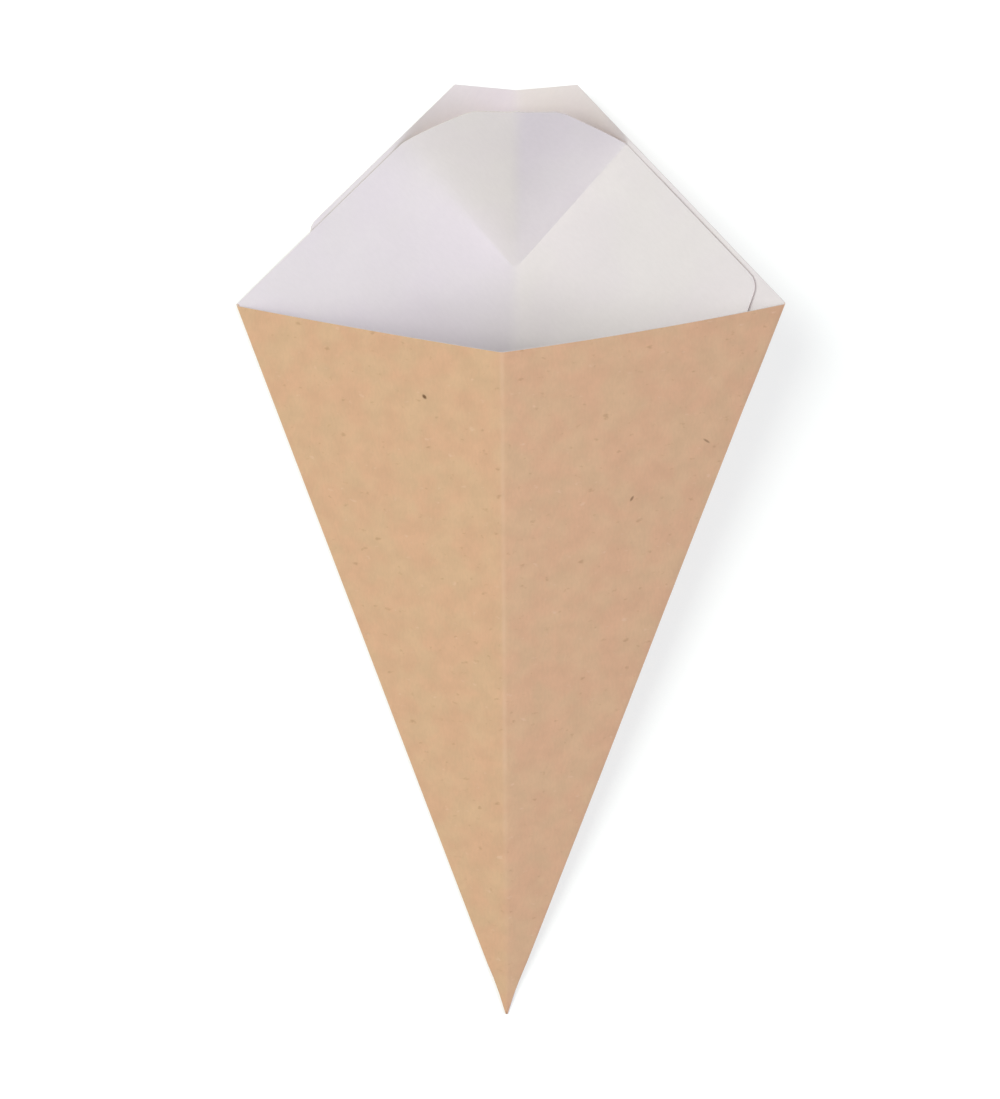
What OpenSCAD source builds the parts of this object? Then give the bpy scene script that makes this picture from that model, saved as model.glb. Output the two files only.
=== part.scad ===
// Paper fry cone with a dip pocket, folded from one sheet of board, in millimetres.
// The blank is a fan of three equal panels round the tip: the inner back panel, the
// front panel and the outer back panel. The back panels overlap and are glued together,
// and the top of the inner one is reverse-folded, so that it stands off as a pocket.
// The cone lies as it comes to rest: on the left half of its back, mouth towards +Y.

/* [Blank] */
// Angle of each of the three panels at the tip, in degrees
panel_angle = 45; // [40:0.5:50]
// Length of the back panels along their centre crease, from the tip
back_len = 260; // [245:0.5:275]
// Length of the right side fold, from the tip
side_len = 213.5; // [205:0.5:222]
// Width of the straight top edge of the outer back panel
back_top_w = 37; // [25:0.5:50]
// How far that top edge dips at the centre crease
back_dip = 0.6; // [0:0.1:3]
// How far the front lip dips at its centre crease, below its right corner
lip_notch = 6.5; // [2:0.5:15]
// Length trimmed off the sharp tip
tip_trim = 1.5; // [1:0.1:3]

/* [Board] */
// Thickness of the board
board_t = 0.45; // [0.3:0.05:0.7]
// How deep the two back panels bed into each other where they are glued
glue_bite = 0.05; // [0.03:0.01:0.1]

/* [Opening] */
// Angle between the cone's axis and its front and back creases, in degrees
open_angle = 9; // [6:0.5:13]

/* [Flaps] */
// How far the inner panel's shoulders lie inside those of the outer panel
shoulder_inset = 1.5; // [0.5:0.1:4]
// Distance of the inner panel's free edge from the right fold, at the mouth
inner_flap_cut = 10; // [5:0.5:20]
// Distance of the outer panel's free edge from the left fold, at the mouth
outer_flap_cut = 26; // [12:0.5:35]
// Corner radius of the two free edges
flap_round = 5; // [2:0.5:8]

/* [Dip pocket] */
// Depth of the pocket along the centre crease, from the outer panel's top edge
pocket_depth = 51; // [35:0.5:60]
// Angle of the two pocket creases from the centre crease, in degrees
pocket_crease_angle = 45; // [40:0.5:50]
// Width of the pocket's lip, measured flat
pocket_lip_w = 26.5; // [15:0.5:35]
// How far the ends of the lip lie below the outer panel's top edge
pocket_lip_drop = 1.5; // [0.5:0.5:6]
// Rise of the lip from its ends to its centre crease
pocket_crown = 3.5; // [0:0.5:8]

/* [Hidden] */
$fn = 32;

// Steps in the arc of a rounded corner
round_steps = 8;
// Radius of the crushed core along a crease and of the knot where the pocket's creases
// meet, and how far a crease stops short of an edge, as shares of the board's thickness
crease_r_share = 0.475;
knot_r_share = 0.65;
crease_stop_share = 0.8;
crease_r = crease_r_share * board_t;
knot_r = knot_r_share * board_t;
crease_stop = crease_stop_share * board_t;

// Directions of the folds: the tip is the origin, +Y the axis, +X right, +Z the front
half_angle = panel_angle / 2;
side_angle = acos(cos(half_angle) / cos(open_angle));
front_ray = [0, cos(open_angle), sin(open_angle)];
back_ray = [0, cos(open_angle), -sin(open_angle)];
right_ray = [sin(side_angle), cos(side_angle), 0];
left_ray = [-sin(side_angle), cos(side_angle), 0];

// Direction in which the inner back panel lies above the outer one
lift_ray = [0, sin(open_angle), cos(open_angle)];
// Half the bend of the back crease, and the angle between front and back at a side fold
crease_bend = asin(tan(open_angle) / tan(half_angle));
fold_angle = acos((cos(2 * open_angle) - pow(cos(half_angle), 2)) / pow(sin(half_angle), 2));

// Shift of each back panel from the surface in which the side folds would close exactly,
// and what the folds gain or lose by it, in the front panel and in the back panels
ply_shift = (board_t - glue_bite) / 2;
ply_lift = ply_shift / cos(crease_bend) * lift_ray;
front_ease = ply_shift / sin(fold_angle);
back_ease = ply_shift * (1 / tan(fold_angle) + tan(crease_bend) * cos(half_angle));

// Shoulders of the back panels: their slope, and their distance from the tip
top_half = back_top_w / 2;
fold_dir = [sin(half_angle), cos(half_angle)];
right_corner = side_len * fold_dir;
shoulder_angle = atan((back_len - right_corner.y) / (right_corner.x - top_half));
shoulder_normal = [sin(shoulder_angle), cos(shoulder_angle)];
outer_reach = right_corner * shoulder_normal;
inner_reach = outer_reach - shoulder_inset;

// Length of the left fold, which ends at the inner panel's shoulder
left_len = (inner_reach + back_ease * sin(shoulder_angle - half_angle)) / cos(shoulder_angle - half_angle);

// Height of the front lip at its crease, along the front ray
lip_v = right_corner.y - lip_notch;

// Directions of the free edges, from the centre crease
inner_edge_angle = half_angle - asin(inner_flap_cut / side_len);
outer_edge_angle = half_angle - asin(outer_flap_cut / side_len);

// The pocket, flat: its foot, its right corner on the shoulder and the points of its lip
pocket_foot = [0, back_len - pocket_depth];
pocket_dir = [sin(pocket_crease_angle), cos(pocket_crease_angle)];
pocket_run = (inner_reach - pocket_foot * shoulder_normal) / (pocket_dir * shoulder_normal);
pocket_corner = pocket_foot + pocket_run * pocket_dir;
lip_end = [pocket_lip_w / 2, back_len - pocket_lip_drop];
lip_top = [0, lip_end.y + pocket_crown];

// Unit axis across a half panel from left to right, square to its crease
function across(ray, side) =
    side * ((side > 0 ? right_ray : left_ray) - cos(half_angle) * ray) / sin(half_angle);

// Place in space of a flat point of a half panel
function folded(point, ray, side) = point.x * across(ray, side) + point.y * ray;

// Direction mirrored in the plane through both pocket creases
pocket_mid = folded(pocket_corner - pocket_foot, back_ray, 1);
mirror_dir = [0, pocket_mid.y, pocket_mid.z] / norm([pocket_mid.y, pocket_mid.z]);
function reversed(dir) = [dir.x, 0, 0] + 2 * (dir * mirror_dir) * mirror_dir - [0, dir.y, dir.z];

// Flat point on a side fold, at a distance from the tip and moved outwards by ease
function fold_point(len, ease) = len * fold_dir + ease * [fold_dir.y, -fold_dir.x];

// Flat points at the tip of a half panel whose side fold is moved outwards by ease
function tip_points(ease) =
    ease > 0 ? [[0, 0], fold_point(0, ease)] : [[0, -ease / fold_dir.x]];

// Flat point where a ray from the tip meets a shoulder
function shoulder_point(angle, reach) =
    reach / cos(shoulder_angle - angle) * [sin(angle), cos(angle)];

// Flat points mirrored to the given side of the crease
function on_side(points, side) = [for (p = points) [side * p.x, p.y]];

function unit(v) = v / norm(v);
function turned(p, angle) = [p.x * cos(angle) - p.y * sin(angle), p.x * sin(angle) + p.y * cos(angle)];

// Arc that rounds a corner of an outline that turns to the left
function rounded(before, corner, after, radius) =
    let (
        back = unit(before - corner),
        ahead = unit(after - corner),
        half = acos(back * ahead) / 2,
        centre = corner + radius / sin(half) * unit(back + ahead),
        start = corner + radius / tan(half) * back - centre
    )
    [for (i = [0:round_steps]) centre + turned(start, (180 - 2 * half) * i / round_steps)];

// Flat outlines of the half panels, drawn to the right of their crease
function front_outline(len, ease) =
    concat(tip_points(ease), [fold_point(len, ease), [0, lip_v]]);
inner_fold_outline =
    concat(tip_points(-back_ease), [fold_point(left_len, -back_ease), pocket_corner, pocket_foot]);
inner_edge_outline =
    concat(
        [[0, 0]],
        rounded([0, 0], shoulder_point(inner_edge_angle, inner_reach), pocket_corner, flap_round),
        [pocket_corner, pocket_foot]
    );
pocket_outline = [[0, 0], pocket_corner - pocket_foot, lip_end - pocket_foot, lip_top - pocket_foot];
outer_top = [[top_half, back_len], [0, back_len - back_dip]];
outer_fold_outline =
    concat(tip_points(back_ease), [fold_point(side_len, back_ease)], outer_top);
outer_edge_outline =
    concat(
        [[0, 0]],
        rounded([0, 0], shoulder_point(outer_edge_angle, outer_reach), outer_top[0], flap_round),
        outer_top
    );

// Axes of the resting cone: up is square to the left half of the back
rest_z = cross(across(back_ray, -1), back_ray);
rest_y = unit([0, 1, 0] - rest_z.y * rest_z);
rest_x = cross(rest_y, rest_z);

// Corners that bound the resting cone, and the middle of its footprint
rest_corners = [
    tip_trim * right_ray,
    side_len * right_ray,
    left_len * left_ray,
    lip_v * front_ray,
    folded([top_half, back_len], back_ray, 1),
    folded([-top_half, back_len], back_ray, -1)
];
rest_xs = [for (p = rest_corners) p * rest_x];
rest_ys = [for (p = rest_corners) p * rest_y];
rest_mid_x = (min(rest_xs) + max(rest_xs)) / 2;
rest_mid_y = (min(rest_ys) + max(rest_ys)) / 2;
rest_drop = ply_shift + board_t / 2;

// A piece of board with a flat outline, placed by its crease point and its two axes
module board(outline, origin, x_axis, y_axis) {
    z_axis = cross(x_axis, y_axis);
    multmatrix([
        [x_axis.x, y_axis.x, z_axis.x, origin.x],
        [x_axis.y, y_axis.y, z_axis.y, origin.y],
        [x_axis.z, y_axis.z, z_axis.z, origin.z]
    ])
        linear_extrude(board_t, center = true)
            polygon(outline);
}

// The core of the board along a crease from one point to an edge of the board
module crease(from, edge) {
    run = edge - from;
    translate(from)
        rotate([0, acos(run.z / norm(run)), atan2(run.y, run.x)])
            cylinder(h = norm(run) - crease_stop, r = crease_r);
}

// Half of the front panel, with its side fold
module front_half(side, len, ease) {
    board(on_side(front_outline(len, ease), side), [0, 0, 0], across(front_ray, side), front_ray);
    fold_end = on_side([fold_point(len, ease)], side)[0];
    fold_start = on_side([fold_point(0, ease)], side)[0];
    crease(folded(fold_start, front_ray, side), folded(fold_end, front_ray, side));
}

// The front panel, bent along its centre crease
module front_panel() {
    front_half(1, side_len, front_ease);
    front_half(-1, left_len, -front_ease);
    crease([0, 0, 0], lip_v * front_ray);
}

// The inner back panel below the pocket, bent along its centre crease
module inner_panel() {
    board(on_side(inner_fold_outline, -1), ply_lift, across(back_ray, -1), back_ray);
    board(inner_edge_outline, ply_lift, across(back_ray, 1), back_ray);
    crease(ply_lift + pocket_foot.y * back_ray, ply_lift);
}

// The reverse-folded front wall of the dip pocket, with its three creases
module pocket_wall() {
    foot = ply_lift + pocket_foot.y * back_ray;
    for (side = [-1, 1]) {
        x_axis = reversed(across(back_ray, side));
        board(on_side(pocket_outline, side), foot, x_axis, reversed(back_ray));
        crease(foot, ply_lift + folded([side * pocket_corner.x, pocket_corner.y], back_ray, side));
    }
    crease(foot, foot + (lip_top - pocket_foot).y * reversed(back_ray));
    translate(foot)
        sphere(knot_r);
}

// The outer back panel, bent along its centre crease
module outer_panel() {
    board(outer_fold_outline, -ply_lift, across(back_ray, 1), back_ray);
    board(on_side(outer_edge_outline, -1), -ply_lift, across(back_ray, -1), back_ray);
    crease(-ply_lift, (back_len - back_dip) * back_ray - ply_lift);
}

// The space below the trimmed tip
module tip_cut() {
    cut = 2 * side_len * sin(side_angle);
    translate([-cut / 2, tip_trim - cut, -cut / 2])
        cube(cut);
}

// Turns the cone from its own axes to the way it lies at rest
module laid_down() {
    multmatrix([
        concat(rest_x, -rest_mid_x),
        concat(rest_y, -rest_mid_y),
        concat(rest_z, rest_drop)
    ])
        children();
}

// The whole folded and glued sheet
module fry_cone() {
    color("burlywood")
        laid_down()
            difference() {
                union() {
                    front_panel();
                    inner_panel();
                    pocket_wall();
                    outer_panel();
                }
                tip_cut();
            }
}

fry_cone();
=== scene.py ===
"""Looks of the paper fry cone: a fan of kraft board, folded into a cone and glued.

The blank is cut flat, and a node tree then folds it as it is folded by hand: it bends the side
folds and the centre creases, lays the inner back panel on the outer one, and pushes the top of
the inner panel through into the dip pocket. Lengths are in metres and angles in radians.
"""

from math import acos, asin, atan2, cos, pi, radians, sin, sqrt, tan

import bpy
from mathutils import Matrix, Vector


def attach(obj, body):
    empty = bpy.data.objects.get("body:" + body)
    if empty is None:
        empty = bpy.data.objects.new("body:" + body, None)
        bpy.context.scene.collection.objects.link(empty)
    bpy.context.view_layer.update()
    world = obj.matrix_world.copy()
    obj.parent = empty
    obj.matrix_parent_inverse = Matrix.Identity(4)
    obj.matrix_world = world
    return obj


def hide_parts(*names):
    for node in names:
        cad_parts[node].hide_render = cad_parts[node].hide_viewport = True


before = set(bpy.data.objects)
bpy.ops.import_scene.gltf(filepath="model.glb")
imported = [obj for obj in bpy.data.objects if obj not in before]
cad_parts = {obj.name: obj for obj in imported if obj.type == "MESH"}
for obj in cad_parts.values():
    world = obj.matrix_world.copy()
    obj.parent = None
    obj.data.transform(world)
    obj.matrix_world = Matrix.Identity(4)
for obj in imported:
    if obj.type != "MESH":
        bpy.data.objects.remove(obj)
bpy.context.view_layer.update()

# Sizes of the blank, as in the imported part

PANEL_ANGLE = radians(45)
BACK_LEN = 0.260
SIDE_LEN = 0.2135
BACK_TOP_W = 0.037
BACK_DIP = 0.0006
LIP_NOTCH = 0.0065
PART_TIP_TRIM = 0.0015
BOARD_T = 0.00045
SHOULDER_INSET = 0.0015
INNER_FLAP_CUT = 0.010
OUTER_FLAP_CUT = 0.026
FLAP_ROUND = 0.005
POCKET_DEPTH = 0.051
POCKET_CREASE_ANGLE = radians(45)
POCKET_LIP_W = 0.0265
POCKET_LIP_DROP = 0.0015
POCKET_CROWN = 0.0035

# How far the cone is open, and how softly the board bends

OPEN_ANGLE = radians(9)
TIP_TRIM = 0.0007
TIP_ROUND_SHARE = 0.06
SIDE_FOLD_R = 0.0003
FRONT_CREASE_R = 0.003
BACK_CREASE_R = 0.012
POCKET_CREASE_R = 0.005
CREASE_RUN = 0.05
LEFT_BOW = 0.0012
RIGHT_BOW = 0.0028

# The pocket's wall rises softly from its left crease and sharply from its right one

LEFT_POCKET_SOFTNESS = 0.0035
RIGHT_POCKET_SOFTNESS = 0.0006
RIGHT_POCKET_START = 0.6
POCKET_LEAN = 0.0021
CREASE_BLEND = 0.2

# The back panels lie on each other, and the inner one's free corner springs up a little

PLY_GAP = 0.00002
PLY_RAMP = 0.008
FLAP_SPRING = 0.0006
FLAP_SHOULDER_SHARE = 0.33
FLAP_RUN = 0.015
FLAP_LOW = 0.12
FLAP_HIGH = 0.19
FLAP_FADE = radians(4)

# Slight waves of the whole board, and how its mesh is joined and shaded

WAVE_HEIGHT = 0.0005
WAVE_SIZE = 0.07
WAVE_CLEAR = 0.012
WAVE_SEED = 3.0
WAVE_MIDDLE = 0.5
WELD = 1e-9
SHARP_EDGE = radians(50)

# Grid of the blank: columns from fold to fold, rows up to a crease or an edge, and rows above it

FOLD_COLUMNS = 22
LOW_ROWS = 64
HIGH_ROWS = 16
LOW_CROWDING = 1.6
HIGH_CROWDING = 1.7

# Camera: it looks at a point on the cone's axis, and its focal length is in pixels of the picture

IMAGE_H = 1099
FOCAL_PX = 4000
SENSOR_MM = 36
VIEW_PIVOT = Vector((0, 0.130, 0))
VIEW_DISTANCE = 1.1
VIEW_SHIFT = Vector((-0.002149, 0.001515, 0))
VIEW_PITCH = radians(7.733)
VIEW_YAW = radians(3.395)
VIEW_ROLL = radians(-0.13)

# Light, placed as the camera sees it: right, up and towards the camera. The cone and the floor
# have lights of their own, so that the cone's shadow stays neutral and close to it.

WORLD_LIGHT = 0.35
KEY_PLACE = Vector((-3.84, 0.10, 1.78))
KEY_SIZE = 2.7
KEY_WATTS = 93.0
KEY_COLOUR = (0.985, 1.0, 0.93)
FRONT_PLACE = Vector((-0.44, 0.06, 0.12))
FRONT_SIZE = 0.3
FRONT_WATTS = 2.8
FRONT_COLOUR = (1.0, 0.995, 0.96)
FILL_PLACE = Vector((3.84, 0.10, 1.78))
FILL_SIZE = 2.7
FILL_WATTS = 119.0
FILL_COLOUR = (0.85, 0.825, 1.0)
SHADOW_PLACE = Vector((-0.39, 0.21, 0.33))
SHADOW_SIZE = 0.5
SHADOW_WATTS = 15.7
SHADOW_COLOUR = (1.0, 1.0, 1.0)
WHITE = (1, 1, 1, 1)
FLOOR_SIZE = 6.0
FLOOR_GLOW = 0.50
FLOOR_SHADE = (0.49, 0.52, 0.485, 1)
FLOOR_PALE = (0.65, 0.65, 0.65, 1)

# Directions of the folds: the tip is the origin, +Y the axis, +X right and +Z the front

HALF = PANEL_ANGLE / 2
SIDE_ANGLE = acos(cos(HALF) / cos(OPEN_ANGLE))
BACK_RAY = Vector((0, cos(OPEN_ANGLE), -sin(OPEN_ANGLE)))
FRONT_RAY = Vector((0, cos(OPEN_ANGLE), sin(OPEN_ANGLE)))
RIGHT_RAY = Vector((sin(SIDE_ANGLE), cos(SIDE_ANGLE), 0))
LEFT_RAY = Vector((-sin(SIDE_ANGLE), cos(SIDE_ANGLE), 0))
CREASE_TURN = asin(tan(OPEN_ANGLE) / tan(HALF))
SIDE_TURN = (pi - acos((cos(2 * OPEN_ANGLE) - cos(HALF) ** 2) / sin(HALF) ** 2)) / 2

# Folds and creases, numbered along the fan from the inner panel's free side

INNER_CREASE = 1.0
LEFT_FOLD = 2.0
FRONT_CREASE = 3.0
OUTER_CREASE = 5.0

# The back panels lie a board apart, half of it to each side of the surface that closes exactly

PLY_SHIFT = (BOARD_T + PLY_GAP) / 2
PLY_FACING = Vector((0, sin(OPEN_ANGLE), cos(OPEN_ANGLE)))
PLY_LIFT = PLY_SHIFT / cos(CREASE_TURN) * PLY_FACING


def flat(reach, angle):
    """Flat point of a panel, at an angle from its centre crease."""
    return Vector((reach * sin(angle), reach * cos(angle)))


def folded(point, ray, side_ray):
    """Place in space of a flat point in the half panel between a crease and a side fold."""
    across = (side_ray - cos(HALF) * ray) / sin(HALF)
    return point.x * across + point.y * ray


# Flat points of the panels, drawn to the right of their centre crease

RIGHT_CORNER = flat(SIDE_LEN, HALF)
TOP_CORNER = Vector((BACK_TOP_W / 2, BACK_LEN))
TOP_DIP = Vector((0, BACK_LEN - BACK_DIP))
SHOULDER_ANGLE = atan2(BACK_LEN - RIGHT_CORNER.y, RIGHT_CORNER.x - TOP_CORNER.x)
OUTER_REACH = RIGHT_CORNER.dot(flat(1, SHOULDER_ANGLE))
INNER_REACH = OUTER_REACH - SHOULDER_INSET
LEFT_CORNER = flat(INNER_REACH / cos(SHOULDER_ANGLE - HALF), HALF)
FRONT_DIP = Vector((0, RIGHT_CORNER.y - LIP_NOTCH))
POCKET_FOOT = Vector((0, BACK_LEN - POCKET_DEPTH))
POCKET_GAP = INNER_REACH - POCKET_FOOT.dot(flat(1, SHOULDER_ANGLE))
POCKET_RUN = POCKET_GAP / cos(SHOULDER_ANGLE - POCKET_CREASE_ANGLE)
POCKET_CORNER = POCKET_FOOT + flat(POCKET_RUN, POCKET_CREASE_ANGLE)
LIP_END = Vector((POCKET_LIP_W / 2, BACK_LEN - POCKET_LIP_DROP))
LIP_TOP = Vector((0, LIP_END.y + POCKET_CROWN))
INNER_EDGE = HALF - asin(INNER_FLAP_CUT / SIDE_LEN)
OUTER_EDGE = HALF - asin(OUTER_FLAP_CUT / SIDE_LEN)
POCKET_SPAN = atan2(POCKET_CORNER.x, POCKET_CORNER.y)
TOP_SPAN = atan2(TOP_CORNER.x, TOP_CORNER.y)

# The plane through both pocket creases, in which the pocket's wall is mirrored

POCKET_PLACE = POCKET_FOOT.y * BACK_RAY + PLY_LIFT
POCKET_SIDE = folded(POCKET_CORNER - POCKET_FOOT, BACK_RAY, RIGHT_RAY)
POCKET_FACING = Vector((0, POCKET_SIDE.z, -POCKET_SIDE.y)).normalized()
POCKET_CREST = (LIP_TOP - POCKET_FOOT).y * BACK_RAY.dot(POCKET_FACING)


def resting_place():
    """Turns the cone from its own axes to the way it lies: on the left half of its back."""
    up = BACK_RAY.cross(LEFT_RAY).normalized()
    along = (Vector((0, 1, 0)) - up.y * up).normalized()
    turn = Matrix((along.cross(up), along, up))
    corners = [
        PART_TIP_TRIM * RIGHT_RAY,
        RIGHT_CORNER.length * RIGHT_RAY,
        LEFT_CORNER.length * LEFT_RAY,
        FRONT_DIP.y * FRONT_RAY,
        folded(TOP_CORNER, BACK_RAY, RIGHT_RAY),
        folded(TOP_CORNER, BACK_RAY, LEFT_RAY),
    ]
    lying = [turn @ corner for corner in corners]
    middle = [(min(p[i] for p in lying) + max(p[i] for p in lying)) / 2 for i in range(2)]
    spot = Vector((-middle[0], -middle[1], PLY_SHIFT + BOARD_T / 2))
    return Matrix.Translation(spot) @ turn.to_4x4()


REST = resting_place()


# Wires: formulas written as sums and products become nodes


class Wire:
    """An output of a node. Its sums and products add Math and Vector Math nodes to the tree."""

    def __init__(self, socket):
        self.socket = socket
        self.tree = socket.id_data

    def __add__(self, other):
        return worked("ADD", self, other)

    def __sub__(self, other):
        return worked("SUBTRACT", self, other)

    def __rsub__(self, other):
        return worked("SUBTRACT", other, self)

    def __truediv__(self, other):
        return worked("DIVIDE", self, other)

    def __rtruediv__(self, other):
        return worked("DIVIDE", other, self)

    def __mul__(self, other):
        if is_vector(self) == is_vector(other):
            return worked("MULTIPLY", self, other)
        vector, number = (self, other) if is_vector(self) else (other, self)
        inputs = {"Vector": vector, "Scale": number}
        return first(place(self.tree, "ShaderNodeVectorMath", inputs, operation="SCALE"))


def is_vector(part):
    """Whether a wire or a constant holds three numbers."""
    if isinstance(part, Wire):
        return part.socket.type == "VECTOR"
    return not isinstance(part, (int, float))


def feed(socket, value):
    """Joins a wire to an input, or sets the input to a constant."""
    if isinstance(value, Wire):
        socket.id_data.links.new(value.socket, socket)
    else:
        socket.default_value = value


def place(tree, kind, inputs=None, **settings):
    """Adds a node with these settings, and feeds its inputs by name or number."""
    node = tree.nodes.new(kind)
    for name, value in settings.items():
        setattr(node, name, value)
    for key, value in (inputs or {}).items():
        feed(node.inputs[key], value)
    return node


def first(node):
    """The first output of a node."""
    return Wire(node.outputs[0])


def worked(operation, *parts):
    """Result of one Math node, or of one Vector Math node if a part is a vector."""
    tree = next(part.tree for part in parts if isinstance(part, Wire))
    vectors = any(is_vector(part) for part in parts)
    kind = "ShaderNodeVectorMath" if vectors else "ShaderNodeMath"
    node = place(tree, kind, dict(enumerate(parts)), operation=operation)
    to_number = vectors and operation in ("DOT_PRODUCT", "LENGTH")
    return Wire(node.outputs["Value" if to_number else 0])


def ramp(value, low, high, to_low=0.0, to_high=1.0):
    """Smooth step of a value from one range to another, held at its ends."""
    inputs = {"Value": value, "From Min": low, "From Max": high, "To Min": to_low, "To Max": to_high}
    return first(place(value.tree, "ShaderNodeMapRange", inputs, interpolation_type="SMOOTHSTEP"))


def split(vector):
    """The three numbers of a vector."""
    return [Wire(out) for out in place(vector.tree, "ShaderNodeSeparateXYZ", {0: vector}).outputs]


def joined(x, y, z):
    """A vector of three numbers, of which the first is a wire."""
    return first(place(x.tree, "ShaderNodeCombineXYZ", {0: x, 1: y, 2: z}))


def noise(vector, size, detail=2.0, **settings):
    """Noise of about 0 to 1, with features of a size."""
    inputs = {"Vector": vector, "Scale": 1.0 / size, "Detail": detail}
    return place(vector.tree, "ShaderNodeTexNoise", inputs, **settings)


def new_tree(name, kind, inputs, outputs):
    """A node tree with named inputs and outputs: the tree, its input wires and its output node."""
    tree = bpy.data.node_groups.new(name, kind)
    for title, socket_type in outputs.items():
        tree.interface.new_socket(title, in_out="OUTPUT", socket_type="NodeSocket" + socket_type)
    for title, socket_type in inputs.items():
        tree.interface.new_socket(title, in_out="INPUT", socket_type="NodeSocket" + socket_type)
    start = place(tree, "NodeGroupInput")
    given = {title: Wire(start.outputs[title]) for title in inputs}
    return tree, given, place(tree, "NodeGroupOutput")


# The blank, cut flat


def straight_cut(start, end):
    """A straight edge of the blank: the angle square to it, and its distance from the tip."""
    run = end - start
    square = Vector((run.y, -run.x)).normalized()
    if square.dot(start) < 0:
        square.negate()
    return atan2(square.x, square.y), square.dot(start)


def reach_of(angle, *cuts):
    """Distance from the tip to the nearest of some straight cuts, along an angle."""
    return min(distance / cos(angle - square) for square, distance in cuts)


def free_corner_reach(angle, edge_angle, reach):
    """Reach of a back panel near its free edge, whose corner with the shoulder is rounded."""
    shoulder = flat(1, SHOULDER_ANGLE)
    inwards = Vector((-cos(edge_angle), sin(edge_angle)))
    to_centre = reach - FLAP_ROUND - FLAP_ROUND * inwards.dot(shoulder)
    centre = flat(to_centre / cos(edge_angle - SHOULDER_ANGLE), edge_angle) + FLAP_ROUND * inwards
    start = centre + FLAP_ROUND * shoulder
    if angle < atan2(start.x, start.y):
        return reach_of(angle, (SHOULDER_ANGLE, reach))
    middle = centre.dot(flat(1, angle))
    return middle + sqrt(max(middle ** 2 - centre.length_squared + FLAP_ROUND ** 2, 0))


def front_reach(angle):
    """Outline of the front panel: its lip, which dips at the crease."""
    corner = RIGHT_CORNER if angle > 0 else LEFT_CORNER
    return reach_of(abs(angle), straight_cut(corner, FRONT_DIP))


def outer_reach(angle):
    """Outline of the outer back panel, whose free edge is on its left."""
    top = reach_of(abs(angle), (SHOULDER_ANGLE, OUTER_REACH), straight_cut(TOP_CORNER, TOP_DIP))
    return top if angle > 0 else min(top, free_corner_reach(-angle, OUTER_EDGE, OUTER_REACH))


def inner_reach(angle):
    """Outline of the inner back panel, its pocket unfolded. Its free edge is on its right."""
    pocket = (straight_cut(POCKET_CORNER, LIP_END), straight_cut(LIP_END, LIP_TOP))
    top = reach_of(abs(angle), (SHOULDER_ANGLE, INNER_REACH), *pocket)
    return top if angle < 0 else min(top, free_corner_reach(angle, INNER_EDGE, INNER_REACH))


def spread(*angles):
    """Angles of columns that pass through the given ones and crowd towards them."""
    steps = [step / FOLD_COLUMNS for step in range(FOLD_COLUMNS)]
    shares = [t ** 3 * (10 + t * (6 * t - 15)) for t in steps]
    runs = zip(angles, angles[1:])
    return [start + (end - start) * share for start, end in runs for share in shares] + [angles[-1]]


def blank_columns():
    """Each column of the fan: its angle, where its lower rows end and where its upper rows end."""
    pocket_crease = straight_cut(POCKET_FOOT, POCKET_CORNER)
    columns = []
    for angle in spread(INNER_EDGE, POCKET_SPAN, 0, -POCKET_SPAN, -HALF)[:-1]:
        top = inner_reach(angle)
        in_pocket = abs(angle) < POCKET_SPAN
        bend = reach_of(abs(angle), pocket_crease) if in_pocket else top
        columns.append((-PANEL_ANGLE - angle, bend, top))
    for angle in spread(-HALF, 0, HALF)[:-1]:
        top = front_reach(angle)
        columns.append((angle, top, top))
    for angle in spread(HALF, TOP_SPAN, 0, -TOP_SPAN, -OUTER_EDGE):
        top = outer_reach(angle)
        columns.append((PANEL_ANGLE - angle, top, top))
    return columns


def faces_between(left, right):
    """Faces between two columns. Where only one goes on, the other's last point is shared."""
    rows = max(len(left), len(right))
    left = left + left[-1:] * (rows - len(left))
    right = right + right[-1:] * (rows - len(right))
    rings = zip(left, right, right[1:], left[1:])
    return [list(dict.fromkeys(ring)) for ring in rings]


def cut_blank():
    """The flat blank as a mesh, with rows that crowd towards the creases and edges."""
    low_shares = [1 - (1 - row / LOW_ROWS) ** LOW_CROWDING for row in range(LOW_ROWS + 1)]
    high_shares = [(row / HIGH_ROWS) ** HIGH_CROWDING for row in range(1, HIGH_ROWS + 1)]
    points, faces, last = [], [], None
    for angle, bend, top in blank_columns():
        reaches = [TIP_TRIM + (bend - TIP_TRIM) * share for share in low_shares]
        if top > bend:
            reaches += [bend + (top - bend) * share for share in high_shares]
        column = list(range(len(points), len(points) + len(reaches)))
        points += [flat(reach, angle).to_3d() for reach in reaches]
        if last:
            faces += faces_between(last, column)
        last = column
    mesh = bpy.data.meshes.new("blank")
    mesh.from_pydata(points, [], faces)
    return mesh


# The fold: how a point of the flat blank finds its place in the cone

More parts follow.
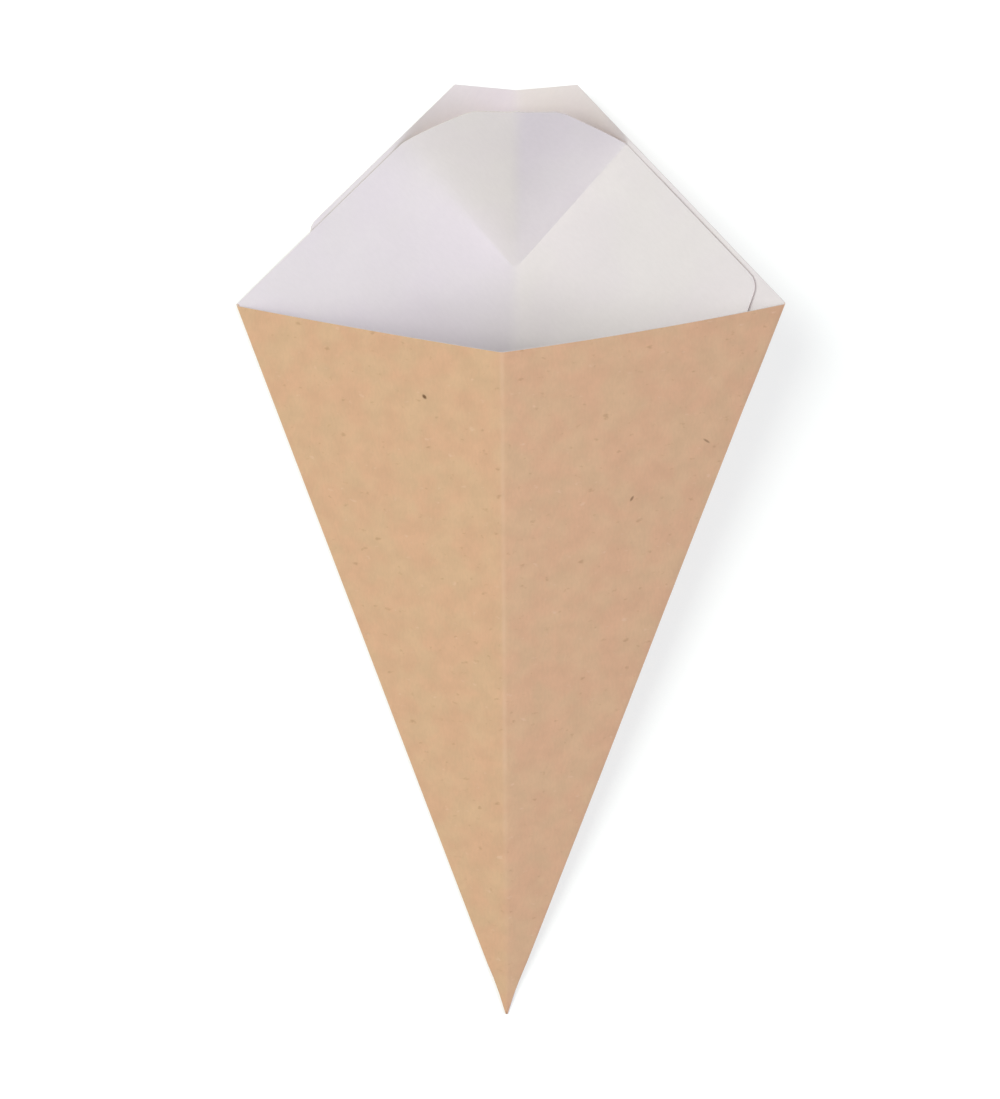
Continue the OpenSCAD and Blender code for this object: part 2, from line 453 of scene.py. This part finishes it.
FOLD_SIZES = {
    "Half panel angle": HALF,
    "Open angle": OPEN_ANGLE,
    "Side angle": SIDE_ANGLE,
    "Side length": SIDE_LEN,
    "Side fold half turn": SIDE_TURN,
    "Crease half turn": CREASE_TURN,
    "Side fold radius": SIDE_FOLD_R,
    "Front crease radius": FRONT_CREASE_R,
    "Back crease radius": BACK_CREASE_R,
    "Pocket crease radius": POCKET_CREASE_R,
    "Crease run": CREASE_RUN,
    "Tip round share": TIP_ROUND_SHARE,
    "Left bow": LEFT_BOW,
    "Right bow": RIGHT_BOW,
    "Ply ramp": PLY_RAMP,
    "Flap start angle": POCKET_SPAN,
    "Flap fade angle": FLAP_FADE,
    "Flap edge angle": INNER_EDGE,
    "Flap shoulder angle": SHOULDER_ANGLE,
    "Flap shoulder reach": INNER_REACH,
    "Flap shoulder share": FLAP_SHOULDER_SHARE,
    "Flap low reach": FLAP_LOW,
    "Flap high reach": FLAP_HIGH,
    "Flap run": FLAP_RUN,
    "Pocket foot reach": POCKET_FOOT.y,
    "Pocket run": POCKET_RUN,
    "Left pocket softness": LEFT_POCKET_SOFTNESS,
    "Right pocket softness": RIGHT_POCKET_SOFTNESS,
    "Right pocket start": RIGHT_POCKET_START,
    "Pocket crest": POCKET_CREST,
    "Pocket lean": POCKET_LEAN,
    "Wave height": WAVE_HEIGHT,
    "Wave size": WAVE_SIZE,
    "Wave clear height": WAVE_CLEAR,
    "Wave seed": WAVE_SEED,
    "Board thickness": BOARD_T,
}
FOLD_PLACES = {
    "Ply lift": PLY_LIFT,
    "Flap lift": FLAP_SPRING * PLY_FACING,
    "Pocket foot": POCKET_PLACE,
    "Pocket facing": POCKET_FACING,
}


def fold_ray(number, given):
    """Direction of a fold. By number they run right, back, left, front, and round again."""
    turn = number * (pi / 2)
    swing = worked("SINE", turn)
    opened = worked("COSINE", given["Open angle"])
    closed = worked("COSINE", given["Side angle"])
    across = worked("COSINE", turn) * worked("SINE", given["Side angle"])
    along = closed + (opened - closed) * worked("ABSOLUTE", swing)
    return joined(across, along, swing * worked("SINE", given["Open angle"]) * -1.0)


def same_fold(number, wanted):
    """1 where a fold's number is the wanted one, and 0 elsewhere."""
    return worked("COMPARE", number, wanted, 0.5)


def soft_fold(number, distance, side, rays, reach, given):
    """What a rounded fold adds to a sharply folded point, at a distance from it on one side."""
    before, ray, after = rays
    crease = worked("FLOORED_MODULO", number, 2.0)
    front = same_fold(number, FRONT_CREASE)
    side_r = given["Side fold radius"]
    front_r = given["Front crease radius"]
    loose_r = given["Back crease radius"]
    tight_r = given["Pocket crease radius"]
    foot = given["Pocket foot reach"]
    back_r = ramp(reach, foot - given["Crease run"], foot, loose_r, tight_r)
    sharp_turn = given["Side fold half turn"]
    half_turn = sharp_turn + (given["Crease half turn"] - sharp_turn) * crease
    rise = worked("SINE", half_turn)
    run = worked("COSINE", half_turn)
    wanted = side_r + (back_r - side_r) * crease + (front_r - back_r) * front
    bend = worked("MINIMUM", wanted * rise / run, reach * given["Tip round share"])
    radius = bend * run / rise
    near = worked("MINIMUM", distance, bend)
    swing = near / bend * half_turn
    inwards = (1.0 / run - worked("COSINE", swing)) * radius - near * rise
    sideways = (worked("SINE", swing) * radius - near * run) * side
    width = worked("SINE", given["Half panel angle"]) * 2.0
    level = ray * (worked("COSINE", given["Half panel angle"]) * 2.0)
    in_part = (before + after - level) * (inwards / (width * rise))
    side_part = (after - before) * (sideways / (width * run))
    return in_part + side_part


def front_bow(number, share, ray, after, reach, given):
    """How far a half of the front panel bows out between its crease and its side fold.

    The bow is given at the mouth, and fades towards the tip."""
    left = same_fold(number, LEFT_FOLD) * given["Left bow"]
    right = same_fold(number, FRONT_CREASE) * given["Right bow"]
    outwards = worked("NORMALIZE", worked("CROSS_PRODUCT", after, ray))
    up_the_fold = reach / given["Side length"]
    arch = share * (1.0 - share) * 4.0
    return outwards * ((left + right) * up_the_fold * up_the_fold * arch)


def ply_offset(fan, reach, given):
    """How the back panels part to lie on each other, away from the fold that each hangs on."""
    past_fold = worked("MAXIMUM", worked("ABSOLUTE", fan - FRONT_CREASE) - 1.0, 0.0)
    from_fold = worked("SINE", past_fold * given["Half panel angle"]) * reach
    share = ramp(from_fold, 0.0, given["Ply ramp"])
    return given["Ply lift"] * (worked("SIGN", FRONT_CREASE - fan) * share)


def flap_spring(fan, reach, given):
    """How the inner panel's free corner stands off the outer panel, along its edge and shoulder.

    It stands off least at the shoulder, and not at all near the pocket and towards the tip."""
    angle = (INNER_CREASE - fan) * given["Half panel angle"]
    from_edge = worked("SINE", given["Flap edge angle"] - angle) * reach
    along_shoulder = worked("COSINE", angle - given["Flap shoulder angle"]) * reach
    from_shoulder = given["Flap shoulder reach"] - along_shoulder
    near_rim = ramp(worked("MINIMUM", from_edge, from_shoulder), given["Flap run"], 0.0)
    start = given["Flap start angle"]
    past_pocket = ramp(angle, start, start + given["Flap fade angle"])
    off_tip = ramp(reach, given["Flap low reach"], given["Flap high reach"])
    off_shoulder = ramp(from_shoulder, 0.0, given["Flap run"], given["Flap shoulder share"])
    return given["Flap lift"] * (near_rim * past_pocket * off_tip * off_shoulder)


def reverse_fold(point, fan, given):
    """Pushes what lies behind the pocket's plane through to its front, in the inner panel.

    The pocket's wall starts flatter than a mirrored one, and bends up to the full height."""

    def passing(right, left):
        """A value that passes from the pocket's right half into its left half."""
        return ramp(fan, INNER_CREASE - CREASE_BLEND, INNER_CREASE + CREASE_BLEND, right, left)

    from_foot = point - given["Pocket foot"]
    depth = worked("DOT_PRODUCT", from_foot, given["Pocket facing"])
    height_share = worked("MAXIMUM", depth, 0.0) / given["Pocket crest"]
    short_of_crest = 1.0 - height_share
    slack = (1.0 - passing(given["Right pocket start"], 0.0)) * short_of_crest * short_of_crest
    mirrored = depth * (slack - 1.0)
    softness = passing(given["Right pocket softness"], given["Left pocket softness"])
    softness = softness * ramp(worked("LENGTH", from_foot), 0.0, given["Pocket run"])
    pushed = worked("SMOOTH_MIN", depth, mirrored, softness)
    lean = joined(given["Pocket lean"] * height_share, 0.0, 0.0)
    inner = worked("LESS_THAN", fan, LEFT_FOLD)
    return point + (given["Pocket facing"] * (pushed - depth) + lean) * inner


def fold_rule(flat_point, given):
    """Place in the cone of a point of the flat blank. Folds are numbered along the fan."""
    half = given["Half panel angle"]
    x, y, _ = split(flat_point)
    reach = worked("LENGTH", flat_point)
    fan = worked("ARCTAN2", x, y) / half + FRONT_CREASE
    number = worked("MINIMUM", worked("FLOOR", fan), OUTER_CREASE)
    angle = (fan - number) * half
    steps = (-1.0, 0.0, 1.0, 2.0)
    before, ray, after, beyond = (fold_ray(number + step, given) for step in steps)
    from_ray = worked("SINE", angle) * reach
    from_after = worked("SINE", half - angle) * reach
    point = (ray * from_after + after * from_ray) * (1.0 / worked("SINE", half))
    point = point + soft_fold(number, from_ray, 1.0, (before, ray, after), reach, given)
    point = point + soft_fold(number + 1.0, from_after, -1.0, (ray, after, beyond), reach, given)
    point = point + front_bow(number, fan - number, ray, after, reach, given)
    point = point + ply_offset(fan, reach, given) + flap_spring(fan, reach, given)
    return reverse_fold(point, fan, given)


def gentle_wave(position, normal, given):
    """Slight waves of the board, square to its surface. They fade out towards the ground."""
    ripple = noise(position, given["Wave size"], 1.0, noise_dimensions="4D")
    feed(ripple.inputs["W"], given["Wave seed"])
    off_ground = ramp(split(position)[2], 0.0, given["Wave clear height"])
    return normal * ((first(ripple) - WAVE_MIDDLE) * given["Wave height"] * off_ground)


def folding_tree():
    """The tree that folds the blank, lays the cone down and gives it thickness and finishes."""
    inputs = {"Blank": "Geometry"}
    inputs.update({name: "Float" for name in FOLD_SIZES})
    inputs.update({name: "Vector" for name in FOLD_PLACES})
    inputs.update({name: "Material" for name in ("Outside", "Inside", "Cut edge")})
    outputs = {"Cone": "Geometry"}
    tree, given, result = new_tree("fold_the_blank", "GeometryNodeTree", inputs, outputs)
    position = first(place(tree, "GeometryNodeInputPosition"))
    normal = first(place(tree, "GeometryNodeInputNormal"))

    def step(kind, shape, inputs=None, **settings):
        """The next node in the line that the mesh goes through."""
        node = place(tree, "GeometryNode" + kind, inputs, **settings)
        feed(node.inputs[0], shape)
        return node

    named = {"Name": "sheet", "Value": position}
    shape = first(step("StoreNamedAttribute", given["Blank"], named, data_type="FLOAT_VECTOR"))
    shape = first(step("SetPosition", shape, {"Position": fold_rule(position, given)}))
    lying = {"Translation": REST.to_translation(), "Rotation": REST.to_euler()}
    shape = first(step("Transform", shape, lying))
    shape = first(step("SetPosition", shape, {"Offset": gentle_wave(position, normal, given)}))

    thickness = given["Board thickness"]
    inner_skin = first(step("SetPosition", shape, {"Offset": normal * (thickness * -0.5)}))
    outer_skin = step("ExtrudeMesh", inner_skin, {"Offset Scale": thickness, "Individual": False})
    both = step("JoinGeometry", first(step("FlipFaces", inner_skin)))
    feed(both.inputs[0], first(outer_skin))
    shape = first(step("MergeByDistance", first(both), {"Distance": WELD}))
    shape = first(step("SetShadeSmooth", shape, {"Shade Smooth": True}, domain="FACE"))
    bend = first(place(tree, "GeometryNodeInputMeshEdgeAngle"))
    smooth = {"Shade Smooth": worked("LESS_THAN", bend, SHARP_EDGE)}
    shape = first(step("SetShadeSmooth", shape, smooth, domain="EDGE"))

    shape = first(step("RealizeInstances", shape))
    shape = first(step("SetMaterial", shape, {"Material": given["Inside"]}))
    for finish, faces in (("Outside", "Top"), ("Cut edge", "Side")):
        chosen = {"Selection": Wire(outer_skin.outputs[faces]), "Material": given[finish]}
        shape = first(step("SetMaterial", shape, chosen))
    feed(result.inputs[0], shape)
    return tree


def fold_cone(finishes):
    """The finished board, as a plain mesh: the blank, folded by its tree."""
    board = bpy.data.objects.new("folded_board", cut_blank())
    tree = folding_tree()
    fold = board.modifiers.new("fold", "NODES")
    fold.node_group = tree
    values = {**FOLD_SIZES, **FOLD_PLACES, **finishes}
    for socket in tree.interface.items_tree:
        if socket.in_out == "INPUT" and socket.name in values:
            fold[socket.identifier] = values[socket.name]
    bpy.context.scene.collection.objects.link(board)
    graph = bpy.context.evaluated_depsgraph_get()
    mesh = bpy.data.meshes.new_from_object(board.evaluated_get(graph))
    board.modifiers.clear()
    board.data = mesh
    return board


# Finishes


def srgb(red, green, blue):
    """A colour in parts of 255, as it looks on a screen, in the light values that shaders take."""
    shares = [part / 255 for part in (red, green, blue)]
    return tuple(((s + 0.055) / 1.055) ** 2.4 if s > 0.04045 else s / 12.92 for s in shares) + (1,)


def mixed(factor, colour, other):
    """One colour passing into another."""
    tree = next(part.tree for part in (factor, colour, other) if isinstance(part, Wire))
    node = place(tree, "ShaderNodeMix", {0: factor, 6: colour, 7: other}, data_type="RGBA")
    return Wire(node.outputs[2])


def brightened(colour, value):
    """A colour made lighter or darker."""
    return first(place(value.tree, "ShaderNodeHueSaturation", {"Color": colour, "Value": value}))


def between(share, low, high):
    """A value that goes from low to high as a share goes from 0 to 1."""
    return share * (high - low) + low


# Grain of the board: where its noises start and end, how they are stretched and set apart

CLOUD_SPAN = (0.25, 0.75)
TINT_SPAN = (0.35, 0.65)
TINT_SPREAD = 1.6
TINT_SHIFT = Vector((1, 2, 0))
FIBRE_SPAN = (0.3, 0.7)
FIBRE_STRETCH = Vector((1, 0.4, 1))
FIBRE_RELIEF = 0.6
FUZZ_RELIEF = 0.4
FUZZ_SHARE = 0.5
RELIEF_DEPTH = 0.0001
BOARD_SPECULAR = 0.3


def paper_grain():
    """Shader group for pressed fibres: masks of clouds, tints and fibres, and the relief."""
    inputs = {"Sheet": "Vector", "Cloud size": "Float", "Fibre size": "Float"}
    outputs = {name: "Float" for name in ("Cloud", "Tint", "Fibre", "Height")}
    tree, given, result = new_tree("paper_grain", "ShaderNodeTree", inputs, outputs)
    sheet = given["Sheet"]
    size = given["Fibre size"]
    cloud = first(noise(sheet, given["Cloud size"], 3.0))
    tint = first(noise(sheet + TINT_SHIFT, given["Cloud size"] * TINT_SPREAD))
    fibre = first(noise(sheet * FIBRE_STRETCH, size, 3.0))
    fuzz = first(noise(sheet, size * FUZZ_SHARE, 3.0))
    feed(result.inputs["Cloud"], ramp(cloud, *CLOUD_SPAN))
    feed(result.inputs["Tint"], ramp(tint, *TINT_SPAN))
    feed(result.inputs["Fibre"], ramp(fibre, *FIBRE_SPAN))
    feed(result.inputs["Height"], fibre * FIBRE_RELIEF + fuzz * FUZZ_RELIEF)
    return tree


GRAIN = paper_grain()


def new_board(name, grain_sizes):
    """A new board material: it, the wire of its flat sheet, and the wires of its grain."""
    material = bpy.data.materials.new(name)
    material.use_nodes = True
    tree = material.node_tree
    sheet = Wire(place(tree, "ShaderNodeAttribute", attribute_name="sheet").outputs["Vector"])
    grain = place(tree, "ShaderNodeGroup", {"Sheet": sheet, **grain_sizes}, node_tree=GRAIN)
    return material, sheet, {out.name: Wire(out) for out in grain.outputs}


def finish_board(material, colour, marks, roughness, relief):
    """Gives a board its colour, a matt gloss that varies with its fibres, and their relief."""
    shader = material.node_tree.nodes["Principled BSDF"]
    feed(shader.inputs["Base Color"], colour)
    feed(shader.inputs["Roughness"], between(marks["Fibre"], *roughness))
    feed(shader.inputs["Specular IOR Level"], BOARD_SPECULAR)
    bump = {"Height": marks["Height"], "Strength": relief, "Distance": RELIEF_DEPTH}
    feed(shader.inputs["Normal"], first(place(material.node_tree, "ShaderNodeBump", bump)))


# Outside: brown kraft. A fleck has its spot on the sheet, length, width, turn and strength.

KRAFT_TAN = srgb(214, 179, 142)
KRAFT_ROSY = srgb(216, 175, 140)
KRAFT_SPECK = srgb(170, 130, 95)
KRAFT_FLECK = srgb(120, 90, 62)
KRAFT_SCUFF = srgb(226, 192, 160)
KRAFT_GRAIN = {"Cloud size": 0.006, "Fibre size": 0.0007}
KRAFT_CLOUDS = (0.96, 1.04)
KRAFT_FIBRES = (0.98, 1.02)
KRAFT_ROUGHNESS = (0.82, 0.95)
KRAFT_RELIEF = 0.25
SLIVER_SIZE = 0.0020
SLIVER_STRETCH = Vector((0.6, 1, 1))
DARK_SPAN = (0.63, 0.76)
DARK_STRENGTH = 0.42
PALE_SPAN = (0.64, 0.76)
PALE_STRENGTH = 0.6
PALE_SHIFT = Vector((5, 1, 0))
BARK_FLECKS = (
    ((-0.0228, 0.1764, 0), 0.0017, 0.0011, radians(-42), 1.0),
    ((0.0365, 0.1471, 0), 0.0019, 0.0008, radians(55), 0.7),
    ((0.0584, 0.1611, 0), 0.0026, 0.0007, radians(-35), 0.6),
)
FLECK_FADE = (0.6, 0.2)
SCUFF_WIDTH = 0.0010
SCUFF_STRENGTH = 0.4
SCUFF_PATCH = 0.012
SCUFF_SPAN = (0.3, 0.65)
SCUFF_LEAST = 0.35
HANDLED_REACH = (0.02, 0.08)


def slivers(sheet, span):
    """Mask of short slivers that lie across the sheet."""
    return ramp(first(noise(sheet * SLIVER_STRETCH, SLIVER_SIZE, 4.0)), *span)


def fleck(sheet, spot, length, width, turn, strength):
    """Mask of one dark piece of bark in the board."""
    inputs = {"Vector": sheet, "Location": spot}
    inputs["Rotation"] = (0, 0, turn)
    inputs["Scale"] = (length, width, 1)
    placed = first(place(sheet.tree, "ShaderNodeMapping", inputs, vector_type="TEXTURE"))
    return ramp(worked("LENGTH", placed), *FLECK_FADE, 0.0, strength)


def scuffed_folds(sheet):
    """Mask along every fold of the sheet, broken up into patches and fading towards the tip."""
    x, y, _ = split(sheet)
    reach = worked("LENGTH", sheet)
    fan = worked("ARCTAN2", x, y) / HALF
    off_fold = worked("ABSOLUTE", fan - worked("ROUND", fan)) * HALF
    distance = worked("SINE", off_fold) * reach
    patches = ramp(first(noise(sheet, SCUFF_PATCH, 3.0)), *SCUFF_SPAN, SCUFF_LEAST)
    return ramp(distance, SCUFF_WIDTH, 0.0) * patches * ramp(reach, *HANDLED_REACH)


def kraft_outside():
    """Brown kraft: clouded tan, with brown and pale slivers, flecks of bark and scuffed folds."""
    material, sheet, marks = new_board("kraft_outside", KRAFT_GRAIN)
    colour = mixed(marks["Tint"], KRAFT_TAN, KRAFT_ROSY)
    colour = brightened(colour, between(marks["Cloud"], *KRAFT_CLOUDS))
    colour = brightened(colour, between(marks["Fibre"], *KRAFT_FIBRES))
    colour = mixed(slivers(sheet, DARK_SPAN) * DARK_STRENGTH, colour, KRAFT_SPECK)
    colour = mixed(slivers(sheet + PALE_SHIFT, PALE_SPAN) * PALE_STRENGTH, colour, KRAFT_SCUFF)
    for spot in BARK_FLECKS:
        colour = mixed(fleck(sheet, *spot), colour, KRAFT_FLECK)
    colour = mixed(scuffed_folds(sheet) * SCUFF_STRENGTH, colour, KRAFT_SCUFF)
    finish_board(material, colour, marks, KRAFT_ROUGHNESS, KRAFT_RELIEF)
    return material


# Inside: a white liner

WHITE_LINER = srgb(233, 229, 227)
WHITE_ROSY = srgb(232, 227, 227)
WHITE_GRAIN = {"Cloud size": 0.014, "Fibre size": 0.0009}
WHITE_CLOUDS = (0.985, 1.01)
WHITE_FIBRES = (0.99, 1.01)
WHITE_ROUGHNESS = (0.62, 0.78)
WHITE_RELIEF = 0.12


def white_inside():
    """White liner: smoother than the outside and barely clouded."""
    material, _, marks = new_board("white_inside", WHITE_GRAIN)
    colour = mixed(marks["Tint"], WHITE_LINER, WHITE_ROSY)
    colour = brightened(colour, between(marks["Cloud"], *WHITE_CLOUDS))
    colour = brightened(colour, between(marks["Fibre"], *WHITE_FIBRES))
    finish_board(material, colour, marks, WHITE_ROUGHNESS, WHITE_RELIEF)
    return material


# Cut edge: the pale core of the board

EDGE_PALE = srgb(236, 231, 225)
EDGE_DARK = srgb(226, 219, 211)
EDGE_GRAIN = {"Cloud size": 0.004, "Fibre size": 0.0006}
EDGE_ROUGHNESS = 0.9


def cut_edge():
    """Cut edge of the board, streaked by its fibres."""
    material, _, marks = new_board("cut_edge", EDGE_GRAIN)
    shader = material.node_tree.nodes["Principled BSDF"]
    feed(shader.inputs["Base Color"], mixed(marks["Fibre"], EDGE_PALE, EDGE_DARK))
    feed(shader.inputs["Roughness"], EDGE_ROUGHNESS)
    feed(shader.inputs["Specular IOR Level"], BOARD_SPECULAR)
    return material


# Camera, floor and light


def camera_place():
    """The camera's place, on the resting cone."""
    turn = Matrix.Rotation(VIEW_ROLL, 3, "Z") @ Matrix.Rotation(VIEW_PITCH, 3, "X")
    turn = (turn @ Matrix.Rotation(-VIEW_YAW, 3, "Y")).transposed()
    spot = VIEW_PIVOT + turn @ (VIEW_SHIFT + Vector((0, 0, VIEW_DISTANCE)))
    return REST @ Matrix.Translation(spot) @ turn.to_4x4()


def add_camera():
    """The camera, with the lens that gives the focal length in pixels on the picture's height."""
    lens = bpy.data.cameras.new("camera")
    lens.sensor_width = SENSOR_MM
    lens.lens = SENSOR_MM * FOCAL_PX / IMAGE_H
    camera = bpy.data.objects.new("camera", lens)
    camera.matrix_world = camera_place()
    bpy.context.scene.collection.objects.link(camera)
    bpy.context.scene.camera = camera


def add_light(name, spot, size, watts, colour, lit):
    """A square soft light at a place seen from the camera, aimed at the middle of the cone.

    Only the things named as lit take its light, and anything in its way casts a shadow."""
    lamp = bpy.data.lights.new(name, "AREA")
    lamp.size = size
    lamp.energy = watts
    lamp.color = colour
    light = bpy.data.objects.new(name, lamp)
    target = REST @ VIEW_PIVOT
    light.location = camera_place() @ spot
    light.rotation_euler = (target - light.location).to_track_quat("-Z", "Y").to_euler()
    lit_things = bpy.data.collections.new("lit_by_" + name)
    for thing in lit:
        lit_things.objects.link(thing)
    light.light_linking.receiver_collection = lit_things
    bpy.context.scene.collection.objects.link(light)


def seen(tree):
    """1 for rays from the camera, also by way of a mirror or glass, and 0 for light on the cone."""
    path = place(tree, "ShaderNodeLightPath")
    rays = ("Is Camera Ray", "Is Glossy Ray", "Is Transmission Ray")
    straight, mirrored, through_glass = (Wire(path.outputs[name]) for name in rays)
    return worked("MAXIMUM", worked("MAXIMUM", straight, mirrored), through_glass)


def add_world():
    """Even white light all round, and a white background."""
    world = bpy.data.worlds.new("studio")
    bpy.context.scene.world = world
    world.use_nodes = True
    tree = world.node_tree
    light = first(place(tree, "ShaderNodeBackground", {"Color": WHITE, "Strength": WORLD_LIGHT}))
    white = first(place(tree, "ShaderNodeBackground", {"Color": WHITE, "Strength": 1.0}))
    both = first(place(tree, "ShaderNodeMixShader", {0: seen(tree), 1: light, 2: white}))
    feed(tree.nodes["World Output"].inputs["Surface"], both)


def add_floor():
    """A pale floor that the camera sees as white, with the cone's shadow on it."""
    mesh = bpy.data.meshes.new("floor")
    half = FLOOR_SIZE / 2
    corners = [(-half, -half, 0), (half, -half, 0), (half, half, 0), (-half, half, 0)]
    mesh.from_pydata(corners, [], [(0, 1, 2, 3)])
    floor = bpy.data.objects.new("floor", mesh)
    bpy.context.scene.collection.objects.link(floor)
    material = bpy.data.materials.new("pale_floor")
    material.use_nodes = True
    tree = material.node_tree
    tree.nodes.remove(tree.nodes["Principled BSDF"])
    pale = first(place(tree, "ShaderNodeBsdfDiffuse", {"Color": FLOOR_PALE}))
    shade = first(place(tree, "ShaderNodeBsdfDiffuse", {"Color": FLOOR_SHADE}))
    glow = first(place(tree, "ShaderNodeEmission", {"Color": WHITE, "Strength": FLOOR_GLOW}))
    white = first(place(tree, "ShaderNodeAddShader", {0: shade, 1: glow}))
    both = first(place(tree, "ShaderNodeMixShader", {0: seen(tree), 1: pale, 2: white}))
    feed(tree.nodes["Material Output"].inputs["Surface"], both)
    mesh.materials.append(material)
    return floor


# The scene

bpy.context.scene.view_settings.view_transform = "Standard"
cone = fold_cone({"Outside": kraft_outside(), "Inside": white_inside(), "Cut edge": cut_edge()})
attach(cone, "root")
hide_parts("fry_cone")
add_camera()
add_world()
floor = add_floor()
add_light("front", FRONT_PLACE, FRONT_SIZE, FRONT_WATTS, FRONT_COLOUR, [cone])
add_light("key", KEY_PLACE, KEY_SIZE, KEY_WATTS, KEY_COLOUR, [cone])
add_light("fill", FILL_PLACE, FILL_SIZE, FILL_WATTS, FILL_COLOUR, [cone, floor])
add_light("shadow", SHADOW_PLACE, SHADOW_SIZE, SHADOW_WATTS, SHADOW_COLOUR, [floor])
